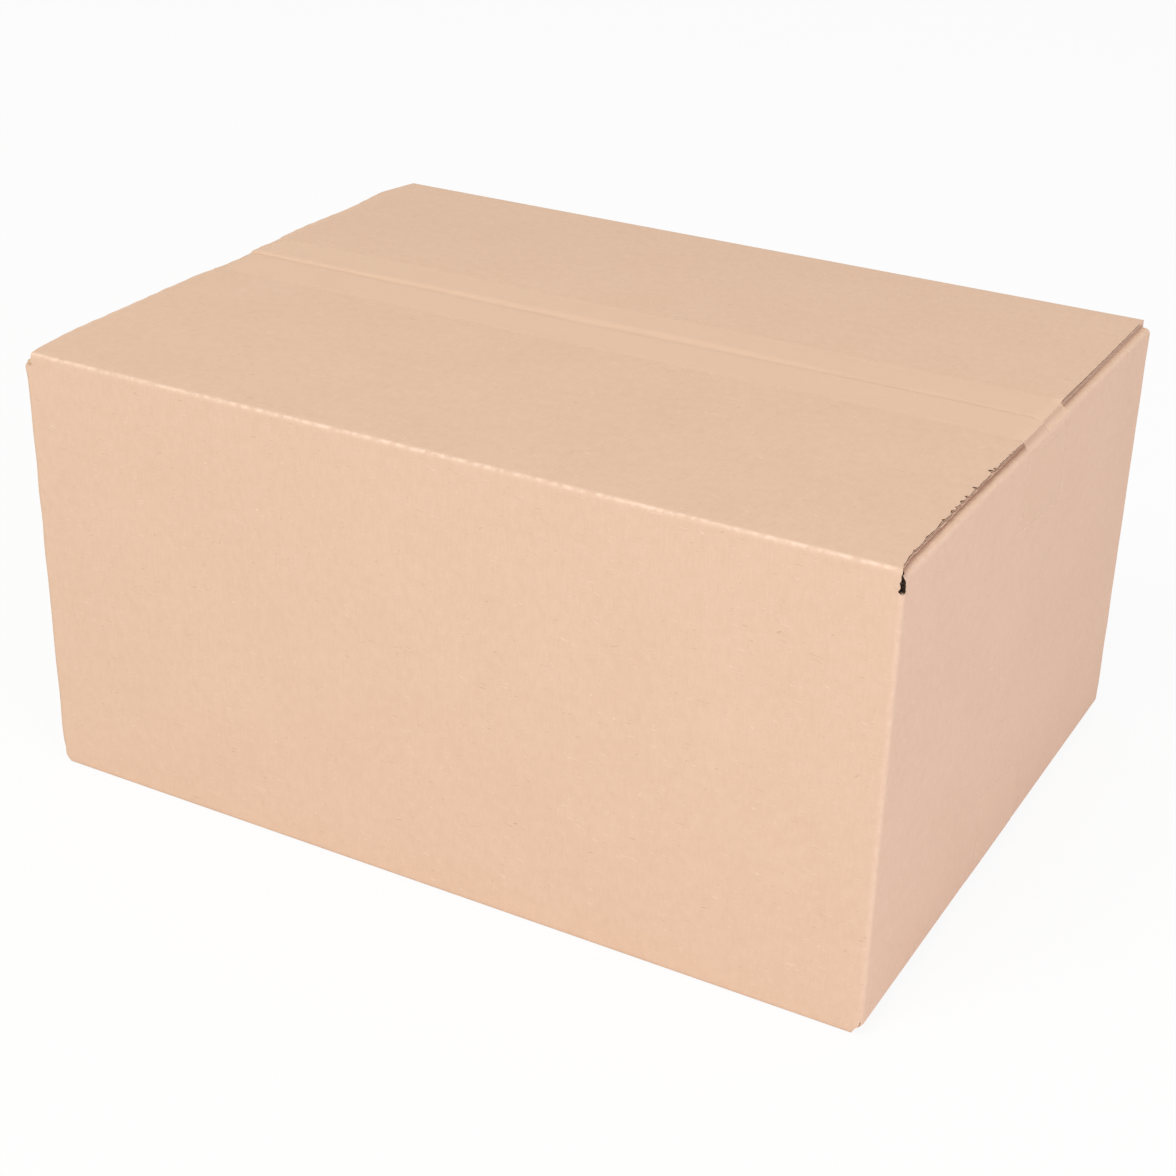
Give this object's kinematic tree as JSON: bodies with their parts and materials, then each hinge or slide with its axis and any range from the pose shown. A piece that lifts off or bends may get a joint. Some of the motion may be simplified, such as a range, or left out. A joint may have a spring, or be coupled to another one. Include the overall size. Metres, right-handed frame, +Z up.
{
  "type": "cardboard box",
  "caption": "Closed rectangular shipping box of plain tan corrugated board, its long flaps meeting under clear packing tape on the top and the bottom.",
  "frame": {"origin": "middle of the box's underside, on the floor it stands on", "axes": "+X along the long sides towards the end panel with the deeper flap inset, +Y from the front panel to the rear panel, +Z up"},
  "size_m": [0.4014, 0.302, 0.2037],
  "materials": {
    "corrugated_board": "matt kraft facing",
    "packing_tape": "clear film with a faint tan tint"
  },
  "bodies": {
    "root": {"box_blank": "corrugated_board", "top_tape": "packing_tape", "bottom_tape": "packing_tape"}
  },
  "joints": []
}
